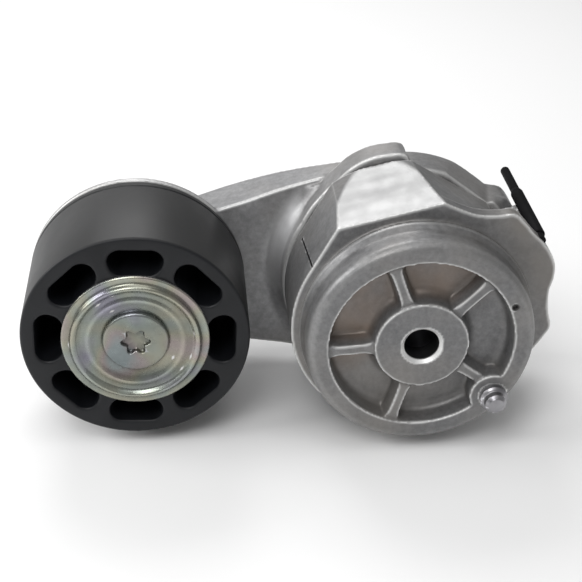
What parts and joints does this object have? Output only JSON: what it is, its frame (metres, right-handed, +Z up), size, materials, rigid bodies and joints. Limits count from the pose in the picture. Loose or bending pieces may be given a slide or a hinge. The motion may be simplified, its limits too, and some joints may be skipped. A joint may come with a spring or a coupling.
{
  "type": "belt tensioner",
  "caption": "Automatic belt tensioner: die-cast spring case with a ribbed mounting face, a swinging arm and a smooth moulded idler pulley on a sealed ball bearing.",
  "frame": {"origin": "on the pivot axis at the mounting face of the spring case", "axes": "+X from the pulley towards the spring case, +Y along the pivot axis away from the engine, +Z up"},
  "size_m": [0.2136, 0.0935, 0.108],
  "materials": {
    "cast_aluminium": "die-cast, bead blasted",
    "zinc_plate": "pressed steel, zinc plated and passivated",
    "bearing_steel": "ground",
    "spring_steel": "phosphated and oiled",
    "black_oxide": "black oxide",
    "black_nylon": "glass-filled nylon, satin",
    "white_acetal": "moulded",
    "seal_rubber": "moulded"
  },
  "bodies": {
    "base": {"base_housing": "cast_aluminium", "locating_pin": "bearing_steel", "pivot_shaft": "bearing_steel", "front_thrust_washer": "white_acetal", "rear_thrust_washer": "white_acetal", "end_plate": "zinc_plate", "torsion_spring": "spring_steel"},
    "arm": {"arm_casting": "cast_aluminium", "pivot_bushing": "black_nylon", "damper_band": "black_nylon", "bearing_inner_ring": "bearing_steel", "dust_cover": "zinc_plate", "clamp_spacer": "bearing_steel", "rear_shield": "zinc_plate", "pulley_bolt": "zinc_plate"},
    "pulley_wheel": {"pulley": "black_nylon", "bearing_outer_ring": "bearing_steel", "seal_front": "seal_rubber", "seal_rear": "seal_rubber"},
    "ball_set": {"bearing_cage": "white_acetal", "ball_1": "bearing_steel", "ball_2": "bearing_steel", "ball_3": "bearing_steel", "ball_4": "bearing_steel", "ball_5": "bearing_steel", "ball_6": "bearing_steel", "ball_7": "bearing_steel", "ball_8": "bearing_steel"},
    "lock": {"lock_pin": "black_oxide"}
  },
  "joints": [
    {"name": "arm_pivot", "type": "hinge", "parent": "base", "child": "arm", "pos_m": [0, 0.0485, 0], "axis": [0, 1, 0], "range_deg": [0, 25], "stiffness_Nm_per_rad": 28, "springref_deg": -51.57, "deforming": ["torsion_spring"]},
    {"name": "pulley_spin", "type": "hinge", "parent": "arm", "child": "pulley_wheel", "pos_m": [-0.1113, 0.0325, 0], "axis": [0, 1, 0], "continuous": true},
    {"name": "cage_spin", "type": "hinge", "parent": "arm", "child": "ball_set", "pos_m": [-0.1113, 0.0325, 0], "axis": [0, 1, 0], "continuous": true},
    {"name": "lock_pin_pull", "type": "slide", "parent": "base", "child": "lock", "axis": [0, 1, 0], "range_m": [0, 0.06]}
  ],
  "couplings": [
    {"joint": "cage_spin", "follows": "pulley_spin", "ratio": 0.63125}
  ]
}
